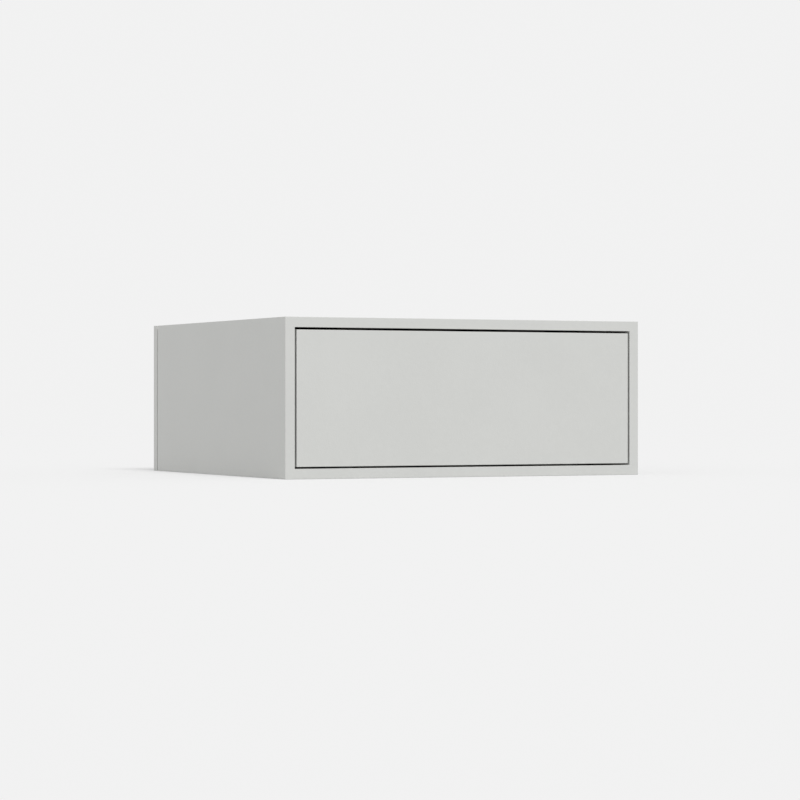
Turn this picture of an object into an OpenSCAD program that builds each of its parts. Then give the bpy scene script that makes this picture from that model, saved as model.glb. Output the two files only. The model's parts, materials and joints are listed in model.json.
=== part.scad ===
// Drawer box: a mitred cabinet of lacquered board with one inset, push-to-open drawer on ball-bearing
// runners. Millimetres. Origin at the middle of the underside, front towards -Y, up is +Z.

/* [Cabinet] */
// Overall width
cabinet_w = 625; // [480:1:900]
// Overall depth, from the face of the drawer to the rear of the back panel
cabinet_d = 582; // [500:1:720]
// Overall height
cabinet_h = 250; // [236:1:340]
// Thickness of the four cabinet boards
board_t = 16; // [15:0.5:19]
// Thickness of the back panel
back_t = 16; // [12:0.5:19]
// Width of the shadow groove between the boards and the back panel
groove_w = 4; // [2:0.25:5]
// Depth of the shadow groove
groove_d = 5; // [2:0.25:6]
// Radius of the eased edges of the lacquered boards
ease_r = 0.8; // [0.5:0.1:1.5]

/* [Drawer front] */
// Thickness of the drawer front
front_t = 16; // [14:0.5:19]
// Gap above the drawer front
gap_top = 3.7; // [1.5:0.1:4]
// Gap below the drawer front
gap_bottom = 2.9; // [1.5:0.1:3.5]
// Gap at each end of the drawer front
gap_side = 3.1; // [1.5:0.1:4]

/* [Drawer box] */
// Thickness of the sides, inner front and back
box_t = 12; // [11:0.5:15]
// Height of the sides
box_h = 160; // [110:1:170]
// Free depth between the drawer box and the back panel
rear_space = 50; // [35:1:80]
// Clear height under the sides
box_lift = 16; // [15.5:0.5:22]
// Thickness of the drawer bottom
bottom_t = 8; // [5:0.5:9]
// Height of the drawer bottom above the lower edge of the sides
bottom_lift = 10; // [8:0.5:16]
// Depth of the groove that holds the drawer bottom
bottom_groove = 6; // [4:0.5:7]

/* [Runners] */
// Thickness of a closed runner
runner_t = 12.7; // [12.5:0.1:14]
// Height of a runner
runner_h = 45.6; // [43:0.1:52]
// Thickness of the rails' sheet steel
sheet_t = 1.2; // [1:0.05:1.3]
// Diameter of the balls
ball_d = 4; // [3.6:0.1:4]
// Balls in each row
row_balls = 10; // [6:1:12]

/* [Push-to-open units] */
// Distance of each unit from the side board next to it
ejector_inset = 96.5; // [80:0.5:160]
// Length of a housing
housing_l = 85; // [80:1:110]
// Diameter of the plungers
plunger_d = 8; // [7:0.1:8.4]
// Length of the plungers
plunger_l = 58; // [54:1:62]
// How far the drawer is pressed in to release it
press_stroke = 3; // [2:0.1:3.5]
// How far the units push the drawer out
eject_stroke = 35; // [25:1:40]

/* [Fasteners] */
// Length of the screws that hold the back panel
back_screw_l = 45; // [35:1:60]
// Shank diameter of those screws
back_screw_d = 4; // [3.5:0.1:5]
// Shank diameter of the small screws
small_screw_d = 3.4; // [3:0.1:3.6]
// Length of a mitre biscuit
biscuit_l = 47; // [40:1:50]
// Width of a mitre biscuit
biscuit_w = 15; // [12:0.5:16]
// Thickness of a mitre biscuit
biscuit_t = 4; // [3:0.1:4.5]
// Diameter of the dowels in the drawer box
dowel_d = 6; // [5:0.5:7]
// Length of those dowels
dowel_l = 25; // [20:1:30]

/* [Hidden] */
$fn = 48;

// Finishes
lacquer = [0.81, 0.82, 0.80];
birch = [0.84, 0.74, 0.58];
beech = [0.80, 0.66, 0.47];
zinc = [0.70, 0.72, 0.74];
steel = [0.60, 0.61, 0.63];
grey_plastic = [0.55, 0.56, 0.57];
black_plastic = [0.12, 0.12, 0.13];

// Clearances
glue_gap = 0.05;     // round and flat joints that are glued or driven in
panel_play = 0.1;    // drawer bottom in its groove
race_gap = 0.05;     // ball in its race
cage_gap = 0.15;     // ball in its cage
plunger_gap = 0.05;  // plunger in its housing
runner_setback = 0.5; // pressed-in drawer front to the runners
housing_setback = 4; // pressed-in drawer front to the housings
drawer_rail_setback = 1; // drawer front to the rails on the drawer
collar_gap = 0.4;    // housings to the drawer box above them
cage_setback = 0.5;  // inner cages to the outer face of a closed runner
spring_gap = 0.3;    // spring to what it pushes on
strike_gap = 0.3;    // magnet to the strike plate
cut = 1;             // how far a cutting tool runs past a face

// Main planes
front_y = -cabinet_d / 2;
rear_y = cabinet_d / 2;
seat_y = rear_y - back_t;            // where the back panel sits on the boards
opening_w = cabinet_w - 2 * board_t;
front_back_y = front_y + front_t;    // rear face of the drawer front
box_w = opening_w - 2 * runner_t;
box_l = seat_y - rear_space - front_back_y;
box_z = board_t + box_lift;
box_back_y = front_back_y + box_l;
bottom_z = box_z + bottom_lift;

// Small parts of the boards
inner_ease = 0.4;
arc_steps = 4;                       // flats in a quarter of an eased edge
biscuit_inset = 0.62 * board_t;      // from the outer faces to the middle of a biscuit
biscuits_per_mitre = 4;
biscuit_end = 60;                    // from a board's end to its outermost biscuit
biscuit_slot_l = biscuit_l + 2;
biscuit_slot_w = biscuit_w + 1;

// Screws
back_head_d = 2 * back_screw_d;
small_head_d = 2 * small_screw_d;
recess_share = 0.5;                  // length of the cross recess, as a share of the head's diameter
recess_depth = 0.6;                  // depth of the recess, as a share of the head's height
tip_l = 2.5;
back_screw_in = (board_t + groove_d) / 2;   // in the middle of the board's seat
back_screw_end = 60;

// Runner section: u runs from the cabinet board towards the drawer, v up from the middle
web_gap = 1;                         // between the webs of the cabinet rail and the middle rail
bend_r = 1.2;                        // bends between web and flange, at the middle of the sheet
bend_step = 12;                      // each flat of a bend covers no more degrees than this
corner_r = 1.8;
lean = 60;                           // slope of the line from an outer ball to an inner ball
race_r = ball_d / 2 + race_gap;
fold_r = race_r + sheet_t / 2;       // a race at the middle of the sheet
outer_u = 1.5 * sheet_t + web_gap + bend_r + (fold_r + bend_r) * cos(45);
outer_v = runner_h / 2 - race_r - sheet_t;
inner_u = outer_u + 2 * fold_r * cos(lean);
inner_v = outer_v - 2 * fold_r * sin(lean);
drawer_web_u = runner_t - sheet_t / 2;
drawer_bend_a = acos((drawer_web_u - bend_r - inner_u) / (fold_r + bend_r));
runner_z = box_z + box_h / 2;
runner_y = front_back_y + press_stroke + runner_setback;
runner_l = box_l;
middle_rail_short = 10;              // how much shorter the middle rails are
middle_rail_l = runner_l - middle_rail_short;
drawer_rail_y = front_back_y + drawer_rail_setback;
drawer_rail_l = box_l - 2 * drawer_rail_setback;
rail_x = -opening_w / 2;
rail_end_r = 5;                      // rounded corners at the ends of the rails
cage_t = 0.7;
cage_web_t = 0.5;
cage_spare = 4.75;                   // left between a cage and the end of its rail
cage_lip = 1.6;                      // how far an outer cage reaches past its balls
cage_back = 2;                       // balls to the far face of an inner cage's web
cage_travel = (runner_l - eject_stroke) / 4;
cage_y = runner_y + cage_travel + cage_spare;   // front end of both cages while the drawer is shut
outer_cage_l = 0.48 * runner_l;
inner_cage_l = 0.43 * runner_l;
rail_screw_front = 37;               // from the front end of a cabinet rail
rail_screw_mid = 26;                 // in front of its middle
rail_screw_rear = 36;                // from its rear end
rail_screw_ys = [runner_y + rail_screw_front, runner_y + runner_l / 2 - rail_screw_mid,
    runner_y + runner_l - rail_screw_rear];
drawer_screw_front = 35;             // from the front end of a drawer rail
drawer_screw_rear = 60;              // from its rear end
drawer_screw_ys = [drawer_rail_y + drawer_screw_front, drawer_rail_y + drawer_rail_l / 2,
    drawer_rail_y + drawer_rail_l - drawer_screw_rear];
rail_screw_l = 13;
drawer_screw_l = 11;
buffer_l = 8;

// Holes in the webs of the rails, as distances along Y from a screw
slot_r = 2.2;
slot_waist = 1.98;                   // straight part of a slot, as a share of its radius: just under 2
slot_l = 6;
flat_slot_at = 32;
upright_slot_at = 48;
large_hole_at = 64;
large_hole_r = 3.15;
drawer_slot_at = 28;
access_r = 5;
access_l = 8;
window_at = 75;
window_l = 26;

// Push-to-open units
plunger_r = plunger_d / 2;
barrel_r = plunger_r + 2;
collar_r = barrel_r + 0.9;
collar_l = 5;
rib_t = 1.6;
rib_inset = 1;                       // foot's edge to the end of a rib
rib_root = 1;                        // how far a rib runs down into the foot
rib_toe = 0.4;                       // height of a rib's end above the foot
rib_shoulder = [0.85 * barrel_r, 0.3 * barrel_r];   // where a rib meets the barrel
stem_half_w = 0.75 * barrel_r;       // half the width of the web under the barrel
rib_places = [0.35, 0.5, 0.65];      // along a housing, clear of its screws
ejector_x = opening_w / 2 - ejector_inset;
ejector_lift = box_lift - collar_gap - collar_r;     // axis of the plungers above the bottom board
ejector_z = board_t + ejector_lift;
strike_rim = 1;                      // how far a strike plate reaches past its plunger
strike_r = plunger_r + strike_rim;
strike_t = 1.5;
magnet_wall = 1;
magnet_r = plunger_r - magnet_wall;
magnet_l = 4.5;
magnet_out = 0.5;
plunger_y = front_back_y + strike_t + strike_gap + magnet_out;   // front of a plunger at rest
housing_y = front_back_y + press_stroke + housing_setback;
housing_end_t = 3;
foot_w = 27;
foot_h = 3;
foot_corner_r = 4;
foot_top = foot_h - ejector_lift;    // from the plungers' axis
housing_screw_x = 9.5;
housing_screw_reach = 0.3;           // from the middle of a housing, as a share of its length
spring_r = 2.7;
wire_r = 0.45;
spring_turns = 9;
spring_sides = 6;
spring_steps = 12;                   // rings in a turn
spring_y = plunger_y + plunger_l + spring_gap + wire_r;
spring_end_y = housing_y + housing_l - housing_end_t - spring_gap - wire_r;

// Drawer joints
dowel_in_side = 8;
dowel_zs = [box_z + 0.22 * box_h, box_z + 0.5 * box_h, box_z + 0.85 * box_h];
back_z = bottom_z + bottom_t;
back_dowel_zs = [back_z + 0.15 * box_h, back_z + 0.42 * box_h, back_z + 0.72 * box_h];
front_screw_l = 24;
bottom_screw_l = 24;
front_screw_zs = [box_z + 0.35 * box_h, box_z + 0.8 * box_h];
front_screw_xs = [-0.4 * box_w, 0, 0.4 * box_w];
bottom_screw_xs = [-0.38 * box_w, 0, 0.38 * box_w];

// ---------------------------------------------------------------- helpers

function mirrored(points) = [for (p = points) [p[0], -p[1]]];
function backwards(points) = [for (i = [len(points) - 1 : -1 : 0]) points[i]];

// Points on an arc, from angle a to angle b
function arc(centre, r, a, b, steps) =
    [for (i = [0 : steps]) centre + r * [cos(a + (b - a) * i / steps), sin(a + (b - a) * i / steps)]];

// One side of a bent sheet. folds holds [centre, radius at the middle of the sheet, from, to] for each
// bend, and side is 1 for the left of the way it runs and -1 for the right.
function sheet_side(folds, side) =
    [for (f = folds)
        let (r = f[1] - side * sign(f[3] - f[2]) * sheet_t / 2)
        each arc(f[0], r, f[2], f[3], ceil(abs(f[3] - f[2]) / bend_step))];

// Section of a rail that is the same above and below its middle
function rail_section(folds) =
    let (left = sheet_side(folds, 1), right = sheet_side(folds, -1))
    concat(left, backwards(right), mirrored(right), backwards(mirrored(left)));

// Rounded rectangle with its lower left corner at the origin
function eased_outline(w, h, r) = concat(
    arc([r, r], r, 180, 270, arc_steps), arc([w - r, r], r, 270, 360, arc_steps),
    arc([w - r, h - r], r, 0, 90, arc_steps), arc([r, h - r], r, 90, 180, arc_steps));

// A flat shape, drawn in X and Z, run along Y
module along_y(from, to) {
    translate([0, to, 0]) rotate([90, 0, 0]) linear_extrude(to - from) children();
}

// A block from one corner to the other with all its edges eased
module eased_block(low, high, r) {
    size = high - low;
    translate(low) intersection() {
        linear_extrude(size[2]) polygon(eased_outline(size[0], size[1], r));
        along_y(0, size[1]) polygon(eased_outline(size[0], size[2], r));
        rotate([90, 0, 90]) linear_extrude(size[0]) polygon(eased_outline(size[1], size[2], r));
    }
}

// A plain block from one corner to the other
module block(low, high) {
    translate(low) cube(high - low);
}

// A board across the drawer, with only the two long edges on top eased
module eased_top_board(low, high, r) {
    t = high[1] - low[1];
    h = high[2] - low[2];
    translate(low) rotate([90, 0, 90]) linear_extrude(high[0] - low[0]) polygon(concat([[0, 0], [t, 0]],
        arc([t - r, h - r], r, 0, 90, arc_steps), arc([r, h - r], r, 90, 180, arc_steps)));
}

// Drawn for the left side, and mirrored for the right side where side is 1
module on_side(side) {
    mirror([side > 0 ? 1 : 0, 0, 0]) children();
}

// Countersunk screw that points down from its head's face at the origin
module screw(length, d, head_d) {
    head_h = (head_d - d) / 2;
    arm = recess_share * head_d;
    difference() {
        union() {
            translate([0, 0, -head_h]) cylinder(h = head_h, d1 = d, d2 = head_d);
            translate([0, 0, tip_l - length]) cylinder(h = length - head_h - tip_l, d = d);
            translate([0, 0, -length]) cylinder(h = tip_l, d1 = d / 4, d2 = d);
        }
        for (turn = [0, 90]) rotate(turn)
            translate([-arm / 2, -arm / 8, -recess_depth * head_h]) cube([arm, arm / 4, head_h]);
    }
}

// The hole that such a screw fills
module screw_hole(length, d, head_d) {
    head_h = (head_d - d) / 2;
    translate([0, 0, -head_h]) cylinder(h = head_h, d1 = d + 2 * glue_gap, d2 = head_d + 2 * glue_gap);
    translate([0, 0, -length - glue_gap]) cylinder(h = length - head_h + glue_gap, d = d + 2 * glue_gap);
    cylinder(h = cut, d = head_d + 2 * glue_gap);
}

// ---------------------------------------------------------------- cabinet

// Section of a board across its thickness and along the depth, outer face at zero
board_section = concat(
    arc([ease_r, front_y + ease_r], ease_r, 180, 270, arc_steps),
    arc([board_t - inner_ease, front_y + inner_ease], inner_ease, 270, 360, arc_steps),
    [[board_t, seat_y], [groove_d, seat_y], [groove_d, seat_y - groove_w], [0, seat_y - groove_w]]);

// Outline of the left board of a frame seen from the front, with mitred ends and eased corners
function mitred_outline(half_w, half_h) = concat(
    arc([ease_r - half_w, ease_r - half_h], ease_r, 225, 180, arc_steps),
    arc([ease_r - half_w, half_h - ease_r], ease_r, 180, 135, arc_steps),
    [[board_t - half_w, half_h - board_t], [board_t - half_w, board_t - half_h]]);

// Left board of a frame around the origin
module mitred_board(half_w, half_h) {
    difference() {
        intersection() {
            translate([-half_w, 0, -half_h]) linear_extrude(2 * half_h) polygon(board_section);
            along_y(front_y - cut, rear_y + cut) polygon(mitred_outline(half_w, half_h));
        }
        mitre_biscuits(half_w, half_h, biscuit_slot_l, biscuit_slot_w, biscuit_t + 2 * glue_gap);
        mirror([0, 0, 1])
            mitre_biscuits(half_w, half_h, biscuit_slot_l, biscuit_slot_w, biscuit_t + 2 * glue_gap);
    }
}

// Biscuits, or their slots, in the lower left mitre of a frame around the origin
module mitre_biscuits(half_w, half_h, l, w, t) {
    reach = seat_y - front_y - 2 * biscuit_end;
    for (i = [0 : biscuits_per_mitre - 1])
        translate([biscuit_inset - half_w, front_y + biscuit_end + reach * i / (biscuits_per_mitre - 1),
            biscuit_inset - half_h])
            rotate([0, 45, 0]) biscuit(l, w, t);
}

// Flat biscuit across X, with its length along Y
module biscuit(l, w, t) {
    r = (l * l / 4 + w * w / 4) / w;
    translate([0, 0, -t / 2]) linear_extrude(t) intersection() {
        translate([r - w / 2, 0]) circle(r);
        translate([w / 2 - r, 0]) circle(r);
    }
}

// The places of the back panel's screws, each pointing forwards
module at_back_screws() {
    x = cabinet_w / 2 - back_screw_in;
    z = cabinet_h / 2 - back_screw_in;
    reach = cabinet_w - 2 * back_screw_end;
    for (i = [0 : 3], s = [-1, 1])
        translate([reach * (i / 3 - 0.5), rear_y, cabinet_h / 2 + s * z]) rotate([-90, 0, 0]) children();
    for (s = [-1, 1])
        translate([s * x, rear_y, cabinet_h / 2]) rotate([-90, 0, 0]) children();
}

// The places of the cabinet rails' screws, each pointing out into a side board
module at_rail_screws() {
    for (y = rail_screw_ys)
        translate([rail_x + sheet_t, y, runner_z]) rotate([0, 90, 0]) children();
}

module side_panel(side) {
    on_side(side) difference() {
        translate([0, 0, cabinet_h / 2]) mitred_board(cabinet_w / 2, cabinet_h / 2);
        at_rail_screws() screw_hole(rail_screw_l, small_screw_d, small_head_d);
        at_back_screws() screw_hole(back_screw_l, back_screw_d, back_head_d);
    }
}

module level_panel(turn) {
    difference() {
        translate([0, 0, cabinet_h / 2]) rotate([0, turn, 0]) mitred_board(cabinet_h / 2, cabinet_w / 2);
        at_back_screws() screw_hole(back_screw_l, back_screw_d, back_head_d);
        if (turn < 0) at_housing_screws() screw_hole(rail_screw_l, small_screw_d, small_head_d);
    }
}

module left_panel() color(lacquer) side_panel(-1);
module right_panel() color(lacquer) side_panel(1);
module top_panel() color(lacquer) level_panel(90);
module bottom_panel() color(lacquer) level_panel(-90);

module corner_biscuits() {
    color(beech) translate([0, 0, cabinet_h / 2])
        for (flip_x = [0, 1], flip_z = [0, 1])
            mirror([flip_x, 0, 0]) mirror([0, 0, flip_z])
                mitre_biscuits(cabinet_w / 2, cabinet_h / 2, biscuit_l, biscuit_w, biscuit_t);
}

module back_panel() {
    color(lacquer) difference() {
        eased_block([-cabinet_w / 2, seat_y, 0], [cabinet_w / 2, rear_y, cabinet_h], ease_r);
        at_back_screws() screw_hole(back_screw_l, back_screw_d, back_head_d);
    }
}

module back_screws() color(zinc) at_back_screws() screw(back_screw_l, back_screw_d, back_head_d);

// ---------------------------------------------------------------- runners

outer_race = [outer_u, outer_v];
inner_race = [inner_u, inner_v];
middle_bend = outer_race - (fold_r + bend_r) * [cos(45), sin(45)];
drawer_bend = inner_race + (fold_r + bend_r) * [cos(drawer_bend_a), -sin(drawer_bend_a)];

cabinet_rail_section = rail_section([
    [[sheet_t / 2 + corner_r, runner_h / 2 - sheet_t / 2 - corner_r], corner_r, 180, 90],
    [outer_race, fold_r, 90, 15]]);
middle_rail_section = rail_section([
    [middle_bend, bend_r, 180, 45],
    [outer_race, fold_r, -135, -lean],
    [inner_race, fold_r, 180 - lean, 35]]);
drawer_rail_section = rail_section([
    [drawer_bend, bend_r, 0, 180 - drawer_bend_a],
    [inner_race, fold_r, -drawer_bend_a, -150]]);

// A rail of the left runner, with the corners at its ends rounded
module rail(section, y, length) {
    translate([rail_x, 0, runner_z]) intersection() {
        along_y(y, y + length) polygon(section);
        translate([-cut, y, -runner_h / 2]) rotate([90, 0, 90]) linear_extrude(runner_t + 2 * cut)
            polygon(eased_outline(length, runner_h, rail_end_r));
    }
}

// A round hole through a rail's web
module web_hole(y, r) {
    translate([rail_x - cut, y, runner_z]) rotate([0, 90, 0]) cylinder(h = runner_t + 2 * cut, r = r);
}

// A long hole through a rail's web, its length along Y, or upright where up is true
module web_slot(y, length, r, up) {
    turn = up ? 90 : 0;
    translate([rail_x - cut, y, runner_z]) rotate([turn, 0, 0]) rotate([0, 90, 0])
        linear_extrude(runner_t + 2 * cut) {
        for (s = [-1, 1]) translate([0, s * length / 2]) circle(r);
        square([slot_waist * r, length], center = true);
    }
}

module cabinet_rail(side) {
    color(zinc) on_side(side) difference() {
        rail(cabinet_rail_section, runner_y, runner_l);
        at_rail_screws() screw_hole(rail_screw_l, small_screw_d, small_head_d);
        for (y = [rail_screw_ys[0], rail_screw_ys[1]]) {
            web_slot(y + flat_slot_at, slot_l, slot_r, false);
            web_slot(y + upright_slot_at, slot_l, slot_r, true);
            web_hole(y + large_hole_at, large_hole_r);
        }
    }
}

module middle_rail(side) {
    color(zinc) on_side(side) difference() {
        rail(middle_rail_section, runner_y, middle_rail_l);
        for (y = rail_screw_ys) web_slot(y, access_l, access_r, false);
        for (y = [rail_screw_ys[0], rail_screw_ys[1]]) web_slot(y + window_at, window_l, slot_r, false);
    }
}

// The places of the drawer rails' screws, each pointing into the drawer's left side
module at_drawer_rail_screws() {
    for (y = drawer_screw_ys)
        translate([rail_x + runner_t - sheet_t, y, runner_z]) rotate([0, -90, 0]) children();
}

module drawer_rail(side) {
    color(zinc) on_side(side) difference() {
        rail(drawer_rail_section, drawer_rail_y, drawer_rail_l);
        at_drawer_rail_screws() screw_hole(drawer_screw_l, small_screw_d, small_head_d);
        for (y = drawer_screw_ys) web_slot(y + drawer_slot_at, slot_l, slot_r, true);
        for (y = [drawer_screw_ys[0], drawer_screw_ys[1]]) web_slot(y + large_hole_at, slot_l, slot_r, false);
    }
}

module cabinet_rail_left() cabinet_rail(-1);
module cabinet_rail_right() cabinet_rail(1);
module middle_rail_left() middle_rail(-1);
module middle_rail_right() middle_rail(1);
module drawer_rail_left() drawer_rail(-1);
module drawer_rail_right() drawer_rail(1);

module cabinet_rail_screws() {
    color(steel) for (side = [-1, 1]) on_side(side)
        at_rail_screws() screw(rail_screw_l, small_screw_d, small_head_d);
}

module drawer_rail_screws() {
    color(steel) for (side = [-1, 1]) on_side(side)
        at_drawer_rail_screws() screw(drawer_screw_l, small_screw_d, small_head_d);
}

// Every place of a ball in the upper and lower rows of a cage of this length
module at_balls(u, v, length) {
    pitch = length / row_balls;
    for (s = [-1, 1], i = [0 : row_balls - 1])
        translate([rail_x + u, cage_y + pitch * (i + 0.5), runner_z + s * v]) children();
}

module balls(side, u, v, length) {
    color(steel) on_side(side) at_balls(u, v, length) sphere(d = ball_d);
}

// Strip bent to a channel, with a round hole for each ball
module cage(side, web_u, end_u, u, v, length) {
    section = [[web_u, v + cage_t / 2], [end_u, v + cage_t / 2], [end_u, v - cage_t / 2],
        [web_u + cage_web_t, v - cage_t / 2]];
    color(steel) on_side(side) difference() {
        translate([rail_x, 0, runner_z]) along_y(cage_y, cage_y + length)
            polygon(concat(section, backwards(mirrored(section))));
        at_balls(u, v, length) cylinder(h = 2 * cage_t, r = ball_d / 2 + cage_gap, center = true);
    }
}

outer_cage_web = sheet_t + (web_gap - cage_web_t) / 2;
outer_cage_end = outer_u + ball_d / 2 + cage_lip;
inner_cage_web = inner_u - ball_d / 2 - cage_back;
inner_cage_end = runner_t - cage_setback;

module outer_cage_left() cage(-1, outer_cage_web, outer_cage_end, outer_u, outer_v, outer_cage_l);
module outer_cage_right() cage(1, outer_cage_web, outer_cage_end, outer_u, outer_v, outer_cage_l);
module inner_cage_left() cage(-1, inner_cage_web, inner_cage_end, inner_u, inner_v, inner_cage_l);
module inner_cage_right() cage(1, inner_cage_web, inner_cage_end, inner_u, inner_v, inner_cage_l);
module outer_balls_left() balls(-1, outer_u, outer_v, outer_cage_l);
module outer_balls_right() balls(1, outer_u, outer_v, outer_cage_l);
module inner_balls_left() balls(-1, inner_u, inner_v, inner_cage_l);
module inner_balls_right() balls(1, inner_u, inner_v, inner_cage_l);

// Plastic stops at the rear ends of the cabinet rails
module rail_buffers() {
    end_y = runner_y + runner_l;
    lip_v = inner_v;
    color(black_plastic) for (side = [-1, 1]) on_side(side)
        translate([rail_x, 0, runner_z]) along_y(end_y - buffer_l, end_y) translate([sheet_t, -lip_v])
            polygon(eased_outline(outer_u - ball_d / 2 - sheet_t, 2 * lip_v, ease_r));
}

// ---------------------------------------------------------------- push-to-open units

// Drawn on the axis of the left unit
module at_ejector(side) {
    on_side(side) translate([-ejector_x, 0, ejector_z]) children();
}

// A round bar along Y on that axis
module bar(from, to, r) {
    translate([0, to, 0]) rotate([90, 0, 0]) cylinder(h = to - from, r = r);
}

// The places of both housings' screws, each pointing down
module at_housing_screws() {
    for (side = [-1, 1]) at_ejector(side)
        for (s = [-1, 1])
            translate([s * housing_screw_x, housing_y + housing_l * (0.5 + housing_screw_reach * s),
                foot_top]) children();
}

// Web that ties the barrel to both sides of the foot, across Y
module housing_rib(y) {
    half_w = foot_w / 2 - rib_inset;
    along_y(y - rib_t / 2, y + rib_t / 2)
        polygon([[-half_w, foot_top - rib_root], [half_w, foot_top - rib_root], [half_w, foot_top + rib_toe],
            rib_shoulder, [-rib_shoulder[0], rib_shoulder[1]], [-half_w, foot_top + rib_toe]]);
}

module ejector_housing(side) {
    color(grey_plastic) difference() {
        at_ejector(side) difference() {
            union() {
                bar(housing_y, housing_y + housing_l, barrel_r);
                bar(housing_y, housing_y + collar_l, collar_r);
                bar(housing_y + housing_l - collar_l, housing_y + housing_l, collar_r);
                block([-stem_half_w, housing_y + ease_r, -ejector_lift],
                    [stem_half_w, housing_y + housing_l - ease_r, 0]);
                translate([-foot_w / 2, housing_y + ease_r, -ejector_lift]) linear_extrude(foot_h)
                    polygon(eased_outline(foot_w, housing_l - 2 * ease_r, foot_corner_r));
                for (place = rib_places) housing_rib(housing_y + housing_l * place);
            }
            bar(housing_y - cut, housing_y + housing_l - housing_end_t, plunger_r + plunger_gap);
        }
        at_housing_screws() screw_hole(rail_screw_l, small_screw_d, small_head_d);
    }
}

module ejector_plunger(side) {
    color(black_plastic) at_ejector(side) difference() {
        bar(plunger_y, plunger_y + plunger_l, plunger_r);
        bar(plunger_y - cut, plunger_y + magnet_l - magnet_out, magnet_r + glue_gap);
    }
}

module ejector_magnet(side) {
    color(steel) at_ejector(side) bar(plunger_y - magnet_out, plunger_y + magnet_l - magnet_out, magnet_r);
}

// Coil spring behind the plunger, swept along its own helix
module ejector_spring(side) {
    rings = spring_turns * spring_steps;
    rise = (spring_end_y - spring_y) / rings;
    points = [for (i = [0 : rings], k = [0 : spring_sides - 1])
        let (turn = 360 * i / spring_steps, r = spring_r + wire_r * cos(360 * k / spring_sides))
        [r * cos(turn), spring_y + rise * i + wire_r * sin(360 * k / spring_sides), r * sin(turn)]];
    walls = [for (i = [0 : rings - 1], k = [0 : spring_sides - 1])
        let (a = i * spring_sides + k, b = i * spring_sides + (k + 1) % spring_sides)
        each [[a, b, b + spring_sides], [a, b + spring_sides, a + spring_sides]]];
    first = [for (k = [spring_sides - 1 : -1 : 0]) k];
    last = [for (k = [0 : spring_sides - 1]) rings * spring_sides + k];
    color(steel) at_ejector(side) polyhedron(points, concat([first], walls, [last]));
}

module ejector_housing_left() ejector_housing(-1);
module ejector_housing_right() ejector_housing(1);
module ejector_plunger_left() ejector_plunger(-1);
module ejector_plunger_right() ejector_plunger(1);
module ejector_magnet_left() ejector_magnet(-1);
module ejector_magnet_right() ejector_magnet(1);
module ejector_spring_left() ejector_spring(-1);
module ejector_spring_right() ejector_spring(1);
module ejector_screws() color(zinc) at_housing_screws() screw(rail_screw_l, small_screw_d, small_head_d);

// ---------------------------------------------------------------- drawer

// The places of the strike plates, each facing the rear
module at_strikes() {
    for (side = [-1, 1]) at_ejector(side)
        translate([0, front_back_y + strike_t, 0]) rotate([-90, 0, 0]) children();
}

// The places of the screws that hold the drawer front, each pointing forwards
module at_front_screws() {
    for (x = front_screw_xs, z = front_screw_zs)
        translate([x, front_back_y + box_t, z]) rotate([-90, 0, 0]) children();
}

// The places of the screws that hold the drawer bottom to the back, each pointing up
module at_bottom_screws() {
    for (x = bottom_screw_xs) translate([x, box_back_y - box_t / 2, bottom_z]) rotate([180, 0, 0]) children();
}

// Dowels, or their holes, in the corners of the drawer box
module corner_dowels(l, d) {
    x = box_w / 2 - box_t + dowel_in_side - dowel_l / 2;
    front = [for (z = dowel_zs) [-x, front_back_y + box_t / 2, z]];
    back = [for (z = back_dowel_zs) [-x, box_back_y - box_t / 2, z]];
    for (side = [-1, 1], place = concat(front, back))
        on_side(side) translate(place) rotate([0, 90, 0]) cylinder(h = l, d = d, center = true);
}

module dowel_holes() corner_dowels(dowel_l + 2 * glue_gap, dowel_d + 2 * glue_gap);

// The groove that the drawer bottom slides into from the rear
module bottom_space(play) {
    half_w = box_w / 2 - box_t + bottom_groove;
    block([play - half_w, front_back_y + box_t - bottom_groove + play, bottom_z - panel_play / 2 + play / 2],
        [half_w - play, box_back_y, bottom_z + bottom_t + panel_play / 2 - play / 2]);
}

module drawer_front() {
    half_w = opening_w / 2 - gap_side;
    color(lacquer) difference() {
        eased_block([-half_w, front_y, board_t + gap_bottom],
            [half_w, front_back_y, cabinet_h - board_t - gap_top], ease_r);
        at_front_screws() screw_hole(front_screw_l, small_screw_d, small_head_d);
        at_strikes() screw_hole(rail_screw_l, small_screw_d, small_head_d);
    }
}

module drawer_side(side) {
    color(birch) difference() {
        on_side(side) eased_block([-box_w / 2, front_back_y, box_z],
            [box_t - box_w / 2, box_back_y, box_z + box_h], ease_r);
        bottom_space(0);
        dowel_holes();
        on_side(side) at_drawer_rail_screws() screw_hole(drawer_screw_l, small_screw_d, small_head_d);
    }
}

module drawer_side_left() drawer_side(-1);
module drawer_side_right() drawer_side(1);

module drawer_inner_front() {
    half_w = box_w / 2 - box_t;
    color(birch) difference() {
        eased_top_board([-half_w, front_back_y, box_z],
            [half_w, front_back_y + box_t, box_z + box_h], ease_r);
        bottom_space(0);
        dowel_holes();
        at_front_screws() screw_hole(front_screw_l, small_screw_d, small_head_d);
    }
}

module drawer_back() {
    half_w = box_w / 2 - box_t;
    color(birch) difference() {
        eased_top_board([-half_w, box_back_y - box_t, back_z],
            [half_w, box_back_y, box_z + box_h], ease_r);
        dowel_holes();
        at_bottom_screws() screw_hole(bottom_screw_l, small_screw_d, small_head_d);
    }
}

module drawer_bottom() {
    color(birch) difference() {
        bottom_space(panel_play);
        at_bottom_screws() screw_hole(bottom_screw_l, small_screw_d, small_head_d);
    }
}

module drawer_dowels() color(beech) corner_dowels(dowel_l, dowel_d);
module front_screws() color(zinc) at_front_screws() screw(front_screw_l, small_screw_d, small_head_d);
module bottom_screws() color(zinc) at_bottom_screws() screw(bottom_screw_l, small_screw_d, small_head_d);

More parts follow.
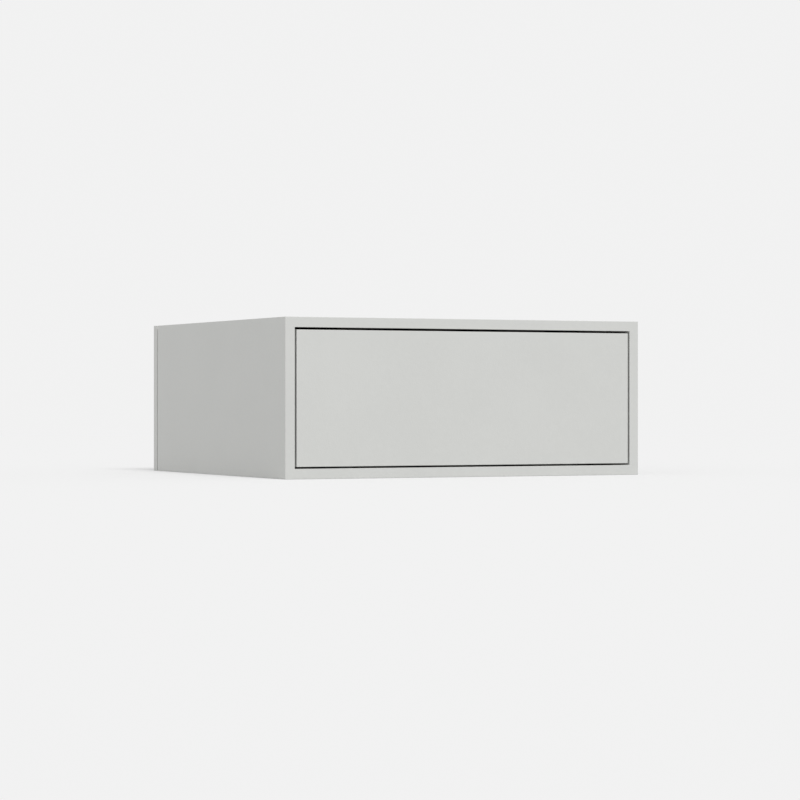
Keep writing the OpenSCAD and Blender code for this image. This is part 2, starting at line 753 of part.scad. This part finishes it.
module strike_plates() {
    color(zinc) difference() {
        at_strikes() translate([0, 0, -strike_t]) cylinder(h = strike_t, r = strike_r);
        at_strikes() screw_hole(rail_screw_l, small_screw_d, small_head_d);
    }
}

module strike_plate_screws() color(zinc) at_strikes() screw(rail_screw_l, small_screw_d, small_head_d);

left_panel();
right_panel();
top_panel();
bottom_panel();
corner_biscuits();
back_panel();
back_screws();
cabinet_rail_left();
cabinet_rail_right();
cabinet_rail_screws();
rail_buffers();
ejector_housing_left();
ejector_housing_right();
ejector_screws();
ejector_plunger_left();
ejector_plunger_right();
ejector_magnet_left();
ejector_magnet_right();
ejector_spring_left();
ejector_spring_right();
middle_rail_left();
middle_rail_right();
outer_cage_left();
outer_cage_right();
outer_balls_left();
outer_balls_right();
inner_cage_left();
inner_cage_right();
inner_balls_left();
inner_balls_right();
drawer_front();
drawer_side_left();
drawer_side_right();
drawer_inner_front();
drawer_back();
drawer_bottom();
drawer_dowels();
front_screws();
bottom_screws();
drawer_rail_left();
drawer_rail_right();
drawer_rail_screws();
strike_plates();
strike_plate_screws();
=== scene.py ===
import json
import math

import bmesh
import bpy
from mathutils import Matrix, Vector


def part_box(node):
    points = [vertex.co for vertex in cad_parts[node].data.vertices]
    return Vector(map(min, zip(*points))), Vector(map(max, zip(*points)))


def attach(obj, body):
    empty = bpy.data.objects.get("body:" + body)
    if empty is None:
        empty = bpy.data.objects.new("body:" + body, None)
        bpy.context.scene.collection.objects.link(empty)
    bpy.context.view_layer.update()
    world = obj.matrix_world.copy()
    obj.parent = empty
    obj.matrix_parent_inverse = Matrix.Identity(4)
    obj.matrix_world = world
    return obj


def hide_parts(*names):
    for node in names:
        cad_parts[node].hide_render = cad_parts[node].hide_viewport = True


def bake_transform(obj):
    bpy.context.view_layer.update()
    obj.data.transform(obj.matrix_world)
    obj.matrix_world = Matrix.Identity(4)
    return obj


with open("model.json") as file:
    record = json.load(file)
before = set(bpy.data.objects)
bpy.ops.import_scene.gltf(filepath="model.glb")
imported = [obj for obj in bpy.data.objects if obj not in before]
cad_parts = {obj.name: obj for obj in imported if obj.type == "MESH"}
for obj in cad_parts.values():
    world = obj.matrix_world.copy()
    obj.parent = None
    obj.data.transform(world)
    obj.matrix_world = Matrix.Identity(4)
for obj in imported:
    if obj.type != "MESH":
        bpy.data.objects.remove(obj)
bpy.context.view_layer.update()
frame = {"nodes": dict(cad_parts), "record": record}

nodes = frame["nodes"]
body_of_node = {
    node: body
    for body, members in frame["record"]["behaviour"]["bodies"].items()
    for node in members
}
MM = 0.001
SAME_POINT = 0.004 * MM     # corner points of a CAD mesh that are closer than this are one
TOUCHING = 0.001 * MM       # as close as corners get where shapes are cut, joined or wound up
FLAT = math.radians(0.5)    # faces that meet at less than this are one face
BACK_SCREW_D = 4.0 * MM     # shank diameters
SMALL_SCREW_D = 3.4 * MM
HEAD_SHARE = 2              # a head's diameter, in shank diameters

# ---------------------------------------------------------------- materials: the helpers


class Value:
    """A number in a finish. Python's operators on it add Math nodes."""

    def __init__(self, finish, socket):
        self.finish = finish
        self.socket = socket

    def __add__(self, other):
        return self.finish.math("ADD", self, other)

    __radd__ = __add__

    def __sub__(self, other):
        return self.finish.math("SUBTRACT", self, other)

    def __rsub__(self, other):
        return self.finish.math("SUBTRACT", other, self)

    def __mul__(self, other):
        return self.finish.math("MULTIPLY", self, other)

    __rmul__ = __mul__

    def __truediv__(self, other):
        return self.finish.math("DIVIDE", self, other)

    def __rtruediv__(self, other):
        return self.finish.math("DIVIDE", other, self)

    def floor(self):
        return self.finish.math("FLOOR", self)

    def fraction(self):
        return self.finish.math("FRACT", self)

    def smallest(self, other):
        return self.finish.math("MINIMUM", self, other)

    def largest(self, other):
        return self.finish.math("MAXIMUM", self, other)


class Added:
    """A node that a finish has added, whose outputs are read by name."""

    def __init__(self, finish, node):
        self.finish = finish
        self.node = node

    def value(self, name=0):
        return Value(self.finish, self.node.outputs[name])


class Finish:
    """A procedural material. Every node of it comes from add()."""

    def __init__(self, name):
        self.material = bpy.data.materials.new(name)
        self.material.use_nodes = True
        self.tree = self.material.node_tree
        self.tree.nodes.clear()
        self.point = self.add("TexCoord").value("Object")
        split = self.add("SeparateXYZ", inputs={0: self.point})
        self.x, self.y, self.z = (split.value(axis) for axis in "XYZ")

    def add(self, kind, settings=None, inputs=None):
        """Adds a node: its settings are set first, then the values or links of its sockets."""
        node = self.tree.nodes.new("ShaderNode" + kind)
        for name, setting in (settings or {}).items():
            if name == "stops":
                self.set_stops(node.color_ramp, setting)
            else:
                setattr(node, name, setting)
        for name, given in (inputs or {}).items():
            if isinstance(given, Value):
                self.tree.links.new(given.socket, node.inputs[name])
            else:
                node.inputs[name].default_value = given
        return Added(self, node)

    @staticmethod
    def set_stops(ramp, stops):
        while len(ramp.elements) < len(stops):
            ramp.elements.new(1.0)
        for element, (place, shade) in zip(ramp.elements, stops):
            element.position = place
            element.color = (*shade, 1.0)

    def math(self, operation, *numbers):
        return self.add("Math", {"operation": operation}, dict(enumerate(numbers))).value()

    def vector(self, x, y, z):
        return self.add("CombineXYZ", inputs={0: x, 1: y, 2: z}).value()

    def stretched(self, x, y, z, shift=0.0):
        """The object's point with each axis scaled, for a pattern that runs one way. The scales of all
        patterns are per metre."""
        return self.add("Mapping", inputs={
            "Vector": self.point, "Location": (shift, shift, shift), "Scale": (x, y, z)}).value()

    def noise(self, where, detail=3.0, roughness=0.5, distortion=0.0):
        return self.add("TexNoise", inputs={
            "Vector": where, "Scale": 1.0, "Detail": detail, "Roughness": roughness,
            "Distortion": distortion}).value("Fac")

    def step(self, amount, low, high, start=0.0, end=1.0):
        """Rises smoothly from start to end while the amount goes from low to high."""
        return self.add("MapRange", {"interpolation_type": "SMOOTHSTEP"}, {
            "Value": amount, "From Min": low, "From Max": high, "To Min": start, "To Max": end}).value()

    def mix(self, factor, first, second, blend="MIX"):
        colours = [c if isinstance(c, Value) else (*c, 1.0) for c in (first, second)]
        return self.add("Mix", {"data_type": "RGBA", "blend_type": blend}, {
            "Factor": factor, 6: colours[0], 7: colours[1]}).value(2)

    def bump(self, height, depth, under=None):
        """A Bump node: height is 0 to 1 and depth is in metres."""
        inputs = {"Height": height, "Distance": depth, "Strength": 1.0}
        if under is not None:
            inputs["Normal"] = under
        return self.add("Bump", {}, inputs).value()

    def finish(self, colour, roughness, normal, **constants):
        """Puts the surface on a Principled shader. Constants are set on the shader's own sockets."""
        inputs = {"Base Color": colour, "Roughness": roughness, "Normal": normal}
        inputs.update({name.replace("_", " "): amount for name, amount in constants.items()})
        shader = self.add("BsdfPrincipled", {}, inputs)
        self.add("OutputMaterial", {}, {"Surface": shader.value()})
        return self.material


class Surroundings(Finish):
    """The world behind and around the cabinet, whose nodes are added in the same way."""

    def __init__(self, name):
        self.world = bpy.data.worlds.new(name)
        self.world.use_nodes = True
        self.tree = self.world.node_tree
        self.tree.nodes.clear()


# ---------------------------------------------------------------- materials: the finishes


def lacquer():
    """Sprayed satin lacquer: faint mottling, fine orange peel and a few pale specks."""
    f = Finish("light_grey_lacquer")
    cloud = f.noise(f.stretched(7, 7, 7), 2)
    mottle = f.noise(f.stretched(160, 160, 160, 3.1), 3)
    speck = f.noise(f.stretched(2600, 2600, 2600), 1)
    tone = f.step(cloud * 0.6 + mottle * 0.4, 0.35, 0.65)
    colour = f.mix(tone, (0.593, 0.599, 0.581), (0.607, 0.613, 0.595))
    colour = f.mix(f.step(speck, 0.70, 0.78) * 0.25, colour, (0.66, 0.665, 0.65))
    peel = f.noise(f.stretched(620, 620, 620), 2, 0.4)
    dust = f.noise(f.stretched(2400, 2400, 2400, 7.7), 1)
    roughness = 0.40 + 0.06 * cloud + 0.05 * mottle
    surface = f.bump(dust, 0.02 * MM, f.bump(peel, 0.12 * MM))
    return f.finish(colour, roughness, surface, Specular_IOR_Level=0.42)


def plywood(name, along, across, through, outer_face, plies, thickness, seed):
    """Clear-lacquered birch plywood. along, across and through name the board's axes, and outer_face is
    where its outer veneer lies on the through axis."""
    f = Finish(name)
    axes = {"x": f.x, "y": f.y, "z": f.z}
    u, v, t = axes[along], axes[across], axes[through]
    skin = 0.2 * MM
    ply = (thickness + 2 * skin) / plies
    depth = (t - (outer_face - skin)) / ply
    layer = depth.floor()
    crossing = (layer * 0.5).fraction() * 2
    within = depth.fraction()
    offset = layer * 3.7 + seed

    # The rotary-cut face: wide wandering bands, fine fibres and short dark vessel lines
    long_u, wide_u = u * 1.6, u * 5
    bands = f.noise(f.vector(long_u, v * 11, offset), 3, 0.55, 1.2)
    rings = f.noise(f.vector(wide_u, v * 60, offset + 11), 3, 0.5, 0.6)
    fibre = f.noise(f.vector(u * 22, v * 1300, t * 1300), 3, 0.6)
    vessel = f.noise(f.vector(u * 90, v * 2300, t * 2300 + 5), 2, 0.5)
    figure = bands * 0.55 + rings * 0.30 + fibre * 0.15
    face = f.add("ValToRGB", {"stops": [
        (0.30, (0.560, 0.395, 0.230)), (0.44, (0.680, 0.520, 0.335)),
        (0.56, (0.735, 0.590, 0.405)), (0.72, (0.790, 0.655, 0.475))]}, {0: figure}).value()
    face = f.mix(f.step(vessel, 0.64, 0.74) * 0.45, face, (0.40, 0.26, 0.14))

    # Every second ply shows its end grain on the edges
    pores = f.noise(f.vector(u * 1500, v * 1500, t * 1500), 2, 0.6)
    end_grain = f.mix(f.step(pores, 0.40, 0.66), (0.545, 0.385, 0.225), (0.375, 0.240, 0.125))
    colour = f.mix(crossing, face, end_grain)
    seam = 1 - f.step(within.smallest(1 - within), 0.02, 0.09)
    colour = f.mix(seam * 0.75, colour, (0.16, 0.085, 0.04))

    rough = 0.34 + 0.10 * fibre + 0.16 * crossing
    surface = f.bump(fibre, 0.012 * MM, f.bump(pores * crossing, 0.03 * MM))
    return f.finish(colour, rough, surface, Coat_Weight=0.25, Coat_Roughness=0.22)


def solid_beech():
    """Pale beech for the biscuits and dowels, with its small dark flecks."""
    f = Finish("beech")
    grain = f.noise(f.stretched(300, 60, 300), 3)
    fleck = f.noise(f.stretched(1500, 260, 1500, 2.0), 2)
    colour = f.mix(f.step(grain, 0.35, 0.65), (0.60, 0.42, 0.26), (0.69, 0.52, 0.34))
    colour = f.mix(f.step(fleck, 0.62, 0.72) * 0.5, colour, (0.38, 0.22, 0.12))
    return f.finish(colour, 0.55 + 0.15 * grain, f.bump(fleck, 0.02 * MM))


def zinc(name, shade, drawn=(900, 14, 900), shine=0.30):
    """Bright zinc plating: drawn lines along the steel, cloudy tint, tiny crystals."""
    f = Finish(name)
    lines = f.noise(f.stretched(*drawn), 4, 0.65)
    cloud = f.noise(f.stretched(24, 9, 24, 4.0), 3, 0.55)
    crystal = f.add("TexVoronoi", {"feature": "F1"}, {
        "Vector": f.stretched(1400, 1400, 1400), "Scale": 1.0}).value("Distance")
    warm = tuple(c * k for c, k in zip(shade, (1.03, 1.0, 0.95)))
    cool = tuple(c * k for c, k in zip(shade, (0.93, 0.97, 1.03)))
    colour = f.mix(f.step(cloud, 0.35, 0.65), cool, warm)
    colour = f.mix(f.step(lines, 0.55, 0.80) * 0.30, colour, tuple(0.72 * c for c in shade))
    roughness = shine + 0.14 * lines + 0.06 * crystal
    surface = f.bump(crystal, 0.004 * MM, f.bump(lines, 0.008 * MM))
    return f.finish(colour, roughness, surface, Metallic=1.0)


def bright_steel(name, shade, shine, scratch):
    """Ground and polished steel with fine scratches."""
    f = Finish(name)
    scratches = f.noise(f.stretched(scratch, scratch * 0.35, scratch), 3, 0.7)
    cloud = f.noise(f.stretched(90, 90, 90), 2)
    colour = f.mix(f.step(cloud, 0.3, 0.7), tuple(0.94 * c for c in shade), shade)
    roughness = shine + 0.10 * scratches + 0.04 * cloud
    return f.finish(colour, roughness, f.bump(scratches, 0.003 * MM), Metallic=1.0)


def moulded(name, shade, gloss):
    """Injection-moulded plastic: spark-eroded grain and slight flow marks."""
    f = Finish(name)
    grain = f.noise(f.stretched(3200, 3200, 3200), 2, 0.6)
    flow = f.noise(f.stretched(60, 18, 60, 1.3), 3, 0.5, 0.8)
    colour = f.mix(f.step(flow, 0.3, 0.7), tuple(0.93 * c for c in shade), tuple(1.06 * c for c in shade))
    colour = f.mix(f.step(grain, 0.60, 0.75) * 0.2, colour, tuple(1.25 * c for c in shade))
    roughness = gloss + 0.10 * grain + 0.05 * flow
    return f.finish(colour, roughness, f.bump(grain, 0.06 * MM))


# ---------------------------------------------------------------- modelling helpers


def deselect_all():
    """Leaves edit mode and deselects every object."""
    if bpy.context.object and bpy.context.object.mode != "OBJECT":
        bpy.ops.object.mode_set(mode="OBJECT")
    bpy.ops.object.select_all(action="DESELECT")


def only(piece):
    """Leaves one object selected and active."""
    deselect_all()
    piece.select_set(True)
    bpy.context.view_layer.objects.active = piece


def apply_modifiers(piece):
    only(piece)
    for modifier in list(piece.modifiers):
        bpy.ops.object.modifier_apply(modifier=modifier.name)


def dressed(node, degrees=35, round_off=0.0, sharp=50):
    """A merged copy of a CAD node in its place. Bends under so many degrees are shaded smooth, and edges
    sharper than the other angle are rounded off."""
    source = nodes[node]
    piece = bpy.data.objects.new(node + "_finished", source.data.copy())
    bpy.context.scene.collection.objects.link(piece)
    only(piece)
    bpy.ops.object.mode_set(mode="EDIT")
    bpy.ops.mesh.select_all(action="SELECT")
    bpy.ops.mesh.remove_doubles(threshold=SAME_POINT)
    bpy.ops.mesh.dissolve_limited(angle_limit=FLAT)
    bpy.ops.object.mode_set(mode="OBJECT")
    bpy.ops.mesh.customdata_custom_splitnormals_clear()
    if round_off:
        bevel = piece.modifiers.new("round_off", "BEVEL")
        bevel.width = round_off
        bevel.segments = 2
        bevel.limit_method = "ANGLE"
        bevel.angle_limit = math.radians(sharp)
        bevel.miter_outer = "MITER_ARC"
    apply_modifiers(piece)
    bpy.ops.object.shade_smooth_by_angle(angle=math.radians(degrees))
    even = piece.modifiers.new("even", "WEIGHTED_NORMAL")
    even.keep_sharp = True
    apply_modifiers(piece)
    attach(piece, body_of_node[node])
    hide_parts(node)
    return piece


def outward_faces(piece):
    """Merges doubles, closes the ends and turns every face outwards."""
    only(piece)
    bpy.ops.object.mode_set(mode="EDIT")
    bpy.ops.mesh.select_all(action="SELECT")
    bpy.ops.mesh.remove_doubles(threshold=TOUCHING)
    bpy.ops.mesh.select_all(action="DESELECT")
    bpy.ops.mesh.select_non_manifold()
    bpy.ops.mesh.edge_face_add()
    bpy.ops.mesh.select_all(action="SELECT")
    bpy.ops.mesh.normals_make_consistent(inside=False)
    bpy.ops.object.mode_set(mode="OBJECT")


def cut_away(piece, tool):
    """Cuts the tool's shape out of a piece and clears the tool away."""
    only(piece)
    cut = piece.modifiers.new("cut", "BOOLEAN")
    cut.operation = "DIFFERENCE"
    cut.solver = "EXACT"
    cut.object = tool
    bpy.ops.object.modifier_apply(modifier=cut.name)
    bpy.data.objects.remove(tool)


def clear_slivers(piece):
    """Merges corners that a cut or a join has left almost on one another, with the faces between them."""
    only(piece)
    bpy.ops.object.mode_set(mode="EDIT")
    bpy.ops.mesh.select_all(action="SELECT")
    bpy.ops.mesh.dissolve_degenerate(threshold=TOUCHING)
    bpy.ops.mesh.remove_doubles(threshold=TOUCHING)
    bpy.ops.object.mode_set(mode="OBJECT")


def coil(name, radius, wire_radius, pitch, turns, steps, wire_sides):
    """A wire wound about Z, from z = 0 upwards."""
    deselect_all()
    bpy.ops.mesh.primitive_circle_add(vertices=wire_sides, radius=wire_radius, location=(0, 0, 0))
    piece = bpy.context.object
    piece.name = name
    bpy.ops.object.mode_set(mode="EDIT")
    bpy.ops.mesh.select_all(action="SELECT")
    bpy.ops.transform.rotate(value=math.radians(90), orient_axis="X", center_override=(0, 0, 0))
    bpy.ops.transform.translate(value=(radius, 0, 0))
    bpy.ops.object.mode_set(mode="OBJECT")
    winding = piece.modifiers.new("winding", "SCREW")
    winding.screw_offset = pitch
    winding.iterations = turns
    winding.steps = winding.render_steps = steps
    apply_modifiers(piece)
    outward_faces(piece)
    return piece


def model_screw(name, length, shank_d, head_d):
    """A countersunk screw with a cross recess and a rolled thread. Its head's face is at the origin and
    its tip is below."""
    head_h = (head_d - shank_d) / 2
    core_r = 0.36 * shank_d
    rim = 0.12 * head_h
    neck_l, tip_l, tip_r = 0.6 * MM, 2.5 * MM, 0.15 * MM
    deselect_all()
    bpy.ops.mesh.primitive_circle_add(vertices=40, radius=head_d / 2, fill_type="NGON", location=(0, 0, 0))
    screw = bpy.context.object
    screw.name = name
    bpy.ops.object.mode_set(mode="EDIT")
    bpy.ops.mesh.select_all(action="SELECT")
    level = 0
    radius = head_d / 2
    core_l = length - head_h - neck_l - tip_l
    for drop, new_radius in ((rim, head_d / 2), (head_h - rim, shank_d / 2), (neck_l, core_r),
                             (core_l, core_r), (tip_l, tip_r)):
        level -= drop
        bpy.ops.mesh.extrude_region_move(TRANSFORM_OT_translate={"value": (0, 0, -drop)})
        scale = new_radius / radius
        bpy.ops.transform.resize(value=(scale, scale, 1), center_override=(0, 0, level))
        radius = new_radius
    outward_faces(screw)

    # The recess: a wide cross, and a thin one between its arms. Width and reach are shares of the head's
    # diameter, and depth is a share of its height.
    wide, thin = (0.17, 0.56, 0.85), (0.05, 0.40, 0.45)
    foot = 0.45             # how much the recess narrows towards its bottom
    for angle, (width, reach, depth) in ((0, wide), (90, wide), (45, thin), (135, thin)):
        deselect_all()
        bpy.ops.mesh.primitive_cube_add(size=1, location=(0, 0, 0))
        tool = bpy.context.object
        arm = (reach * head_d, width * head_d, 2 * depth * head_h)
        bpy.ops.object.mode_set(mode="EDIT")
        bpy.ops.mesh.select_all(action="SELECT")
        bpy.ops.transform.resize(value=arm, center_override=(0, 0, 0))
        bpy.ops.transform.rotate(value=math.radians(angle), orient_axis="Z", center_override=(0, 0, 0))
        bpy.ops.object.mode_set(mode="OBJECT")
        for vertex in tool.data.vertices:
            if vertex.co.z < 0:
                vertex.co.x *= foot
                vertex.co.y *= foot
        cut_away(screw, tool)

    # The thread, wound up from near the tip and sunk a little into the core
    pitch = 0.42 * shank_d
    bare_l, start, sunk = 3.4 * MM, 2.6 * MM, 0.02 * MM
    turns = int((length - head_h - bare_l) / pitch)
    thread = coil(name + "_thread", core_r - sunk, shank_d / 2 - core_r, pitch, turns, 20, 3)
    thread.data.transform(Matrix.Translation((0, 0, start - length)))
    only(screw)
    join = screw.modifiers.new("join", "BOOLEAN")
    join.operation = "UNION"
    join.solver = "EXACT"
    join.object = thread
    bpy.ops.object.modifier_apply(modifier=join.name)
    bpy.data.objects.remove(thread)
    clear_slivers(screw)
    bpy.ops.object.shade_smooth_by_angle(angle=math.radians(28))
    return screw


def solids_of(node):
    """The corner points of each separate solid in a CAD node."""
    mesh = bmesh.new()
    mesh.from_mesh(nodes[node].data)
    bmesh.ops.remove_doubles(mesh, verts=mesh.verts[:], dist=SAME_POINT)
    seen = set()
    solids = []
    for first in mesh.verts:
        if first in seen:
            continue
        seen.add(first)
        waiting, points = [first], []
        while waiting:
            vertex = waiting.pop()
            points.append(vertex.co.copy())
            for edge in vertex.link_edges:
                other = edge.other_vert(vertex)
                if other not in seen:
                    seen.add(other)
                    waiting.append(other)
        solids.append(points)
    mesh.free()
    return solids


def screw_place(points, turn):
    """A screw's place and length, from the corner points of its CAD solid: its head is at its wider end."""
    end_slice = 0.05 * MM
    low = Vector(min(p[i] for p in points) for i in range(3))
    high = Vector(max(p[i] for p in points) for i in range(3))
    axis = max(range(3), key=lambda i: high[i] - low[i])
    middle = (low + high) / 2

    def spread(end):
        near = [p for p in points if abs(p[axis] - end) < end_slice]
        return max((p - middle).length_squared - (p[axis] - middle[axis]) ** 2 for p in near)

    faces_up = spread(high[axis]) > spread(low[axis])
    head = middle.copy()
    head[axis] = high[axis] if faces_up else low[axis]
    outward = Vector((0, 0, 0))
    outward[axis] = 1 if faces_up else -1
    upright = outward.to_track_quat("Z", "Y").to_matrix().to_4x4()
    return Matrix.Translation(head) @ upright @ Matrix.Rotation(turn, 4, "Z"), high[axis] - low[axis]


def drive_screws(node, shank_d, material):
    """Replaces a node's plain screws with threaded ones, each turned a little differently."""
    first_turn, next_turn = 0.35, 0.9
    copies = []
    model = None
    for number, points in enumerate(solids_of(node)):
        place, length = screw_place(points, next_turn * number + first_turn)
        if model is None:
            model = model_screw(node + "_threaded", length, shank_d, HEAD_SHARE * shank_d)
        copy = bpy.data.objects.new(f"{node}_copy_{number}", model.data.copy())
        bpy.context.scene.collection.objects.link(copy)
        copy.data.transform(place)
        copies.append(copy)
    deselect_all()
    for copy in copies:
        copy.select_set(True)
    bpy.context.view_layer.objects.active = copies[0]
    bpy.ops.object.join()
    bpy.data.objects.remove(model)
    copies[0].name = node + "_threaded"
    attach(copies[0], body_of_node[node])
    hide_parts(node)
    coat(copies[0], material)


def coat(piece, material):
    """Puts a finish in every material slot of a piece."""
    if not piece.data.materials:
        piece.data.materials.append(material)
    for slot in piece.material_slots:
        slot.material = material


# ---------------------------------------------------------------- dressing the nodes

grey = lacquer()
rail_zinc = zinc("zinc_plated_rail", (0.60, 0.62, 0.64))
screw_zinc = zinc("zinc_plated_screw", (0.66, 0.64, 0.58), (500, 500, 500), 0.26)
ball_steel = bright_steel("polished_steel", (0.72, 0.73, 0.75), 0.10, 900)
cage_steel = bright_steel("cage_steel", (0.56, 0.57, 0.58), 0.34, 500)
nickel = bright_steel("magnet", (0.66, 0.64, 0.60), 0.16, 700)
light_plastic = moulded("grey_plastic", (0.30, 0.31, 0.32), 0.42)
dark_plastic = moulded("black_plastic", (0.018, 0.018, 0.020), 0.40)
beech = solid_beech()

for board in ("left_panel", "right_panel", "top_panel", "bottom_panel", "back_panel", "drawer_front"):
    piece = dressed(board)
    coat(piece, grey)

# Drawer boards: (node, along, across, through, plies)
for number, (board, along, across, through, plies) in enumerate([
        ("drawer_side_left", "y", "z", "x", 9), ("drawer_side_right", "y", "z", "x", 9),
        ("drawer_inner_front", "x", "z", "y", 9), ("drawer_back", "x", "z", "y", 9),
        ("drawer_bottom", "x", "y", "z", 7)]):
    low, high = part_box(board)
    axis = "xyz".index(through)
    piece = dressed(board, round_off=0.25 * MM, sharp=60)
    coat(piece, plywood(f"lacquered_birch_{number + 1}", along, across, through, low[axis], plies,
                        high[axis] - low[axis], 5.3 * number))

for side in ("left", "right"):
    for rail in ("cabinet_rail", "middle_rail", "drawer_rail"):
        piece = dressed(f"{rail}_{side}", round_off=0.12 * MM, sharp=60)
        coat(piece, rail_zinc)
    for cage in ("outer_cage", "inner_cage"):
        coat(nodes[f"{cage}_{side}"], cage_steel)
    for balls in ("outer_balls", "inner_balls"):
        coat(nodes[f"{balls}_{side}"], ball_steel)
    piece = dressed(f"ejector_housing_{side}", round_off=0.4 * MM, sharp=50)
    coat(piece, light_plastic)
    piece = dressed(f"ejector_plunger_{side}", round_off=0.35 * MM)
    coat(piece, dark_plastic)
    coat(nodes[f"ejector_magnet_{side}"], nickel)

    # The spring, wound from round wire between the plunger and the end of the housing
    node = f"ejector_spring_{side}"
    low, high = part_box(node)
    wire_r = 0.45 * MM
    turns = 9
    pitch = (high.y - low.y - 2 * wire_r) / turns
    radius = (high.x - low.x) / 2 - wire_r
    spring = coil(node + "_wound", radius, wire_r, pitch, turns, 32, 12)
    lie_back = Matrix.Rotation(math.radians(-90), 4, "X")
    front_end = ((low.x + high.x) / 2, low.y + wire_r, (low.z + high.z) / 2)
    spring.data.transform(Matrix.Translation(front_end) @ lie_back)
    only(spring)
    bpy.ops.object.shade_smooth_by_angle(angle=math.radians(40))
    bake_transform(spring)
    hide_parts(node)
    coat(spring, ball_steel)

piece = dressed("rail_buffers", round_off=0.5 * MM)
coat(piece, dark_plastic)
piece = dressed("strike_plates", round_off=0.25 * MM)
coat(piece, screw_zinc)
for node in ("corner_biscuits", "drawer_dowels"):
    coat(nodes[node], beech)
drive_screws("back_screws", BACK_SCREW_D, screw_zinc)
for node in ("cabinet_rail_screws", "ejector_screws", "front_screws", "bottom_screws",
             "drawer_rail_screws", "strike_plate_screws"):
    drive_screws(node, SMALL_SCREW_D, screw_zinc)

# ---------------------------------------------------------------- floor, light and camera

BACKGROUND = 0.884          # the pale grey behind the cabinet
FILL = 0.690                # what the surroundings send to the cabinet
BOUNCE = 0.635              # how much of its light the floor sends back
FLOOR_SHADE = 0.753         # how the floor looks
FLOOR_RADIUS = 30
FADE_FROM, FADE_TO = 1.0, 5.0   # where the floor passes over into the background
FADE_START = 0.35           # the background's share of the floor near the cabinet, which softens its shadow
KEY_ENERGY = 1.818
KEY_SPREAD = math.radians(25)
TOWARDS_KEY = Vector((0.0, -0.53, 0.848))
EYE = (-1.9198, -4.0829, 0.1219)
EYE_TURN = math.radians(-25.418)


def background_rays(finish):
    """1 for the rays that see the background: the camera's, and those of gloss and glass."""
    light_path = finish.add("LightPath")
    seen = light_path.value("Is Camera Ray").largest(light_path.value("Is Glossy Ray"))
    return seen.largest(light_path.value("Is Transmission Ray"))


deselect_all()
bpy.ops.mesh.primitive_circle_add(vertices=96, radius=FLOOR_RADIUS, fill_type="NGON", location=(0, 0, 0))
floor = bpy.context.object
floor.name = "floor"
f = Finish("floor")
seen = background_rays(f)
shade = f.mix(seen, (BOUNCE,) * 3, (FLOOR_SHADE,) * 3)
matt = f.add("BsdfDiffuse", {}, {"Color": shade})
far = f.add("Emission", {}, {"Color": (BACKGROUND,) * 3 + (1.0,), "Strength": 1.0})
distance = f.add("VectorMath", {"operation": "LENGTH"}, {0: f.point}).value("Value")
fade = f.step(distance, FADE_FROM, FADE_TO, FADE_START) * seen
ground = f.add("MixShader", {}, {0: fade, 1: matt.value(), 2: far.value()})
f.add("OutputMaterial", {}, {"Surface": ground.value()})
floor.data.materials.append(f.material)

w = Surroundings("surroundings")
shade = w.mix(background_rays(w), (FILL,) * 3, (BACKGROUND,) * 3)
light = w.add("Background", {}, {"Color": shade, "Strength": 1.0})
w.add("OutputWorld", {}, {"Surface": light.value()})
bpy.context.scene.world = w.world

bpy.ops.object.light_add(type="SUN", location=(-1.4, -3.0, 4.5))
key = bpy.context.object
key.name = "key_light"
key.data.energy = KEY_ENERGY
key.data.angle = KEY_SPREAD
key.rotation_euler = TOWARDS_KEY.to_track_quat("Z", "Y").to_euler()

bpy.ops.object.camera_add(location=EYE, rotation=(math.radians(90), 0, EYE_TURN))
camera = bpy.context.object
camera.data.lens = 120.81
camera.data.sensor_width = 36
bpy.context.scene.camera = camera
bpy.context.scene.view_settings.view_transform = "Standard"
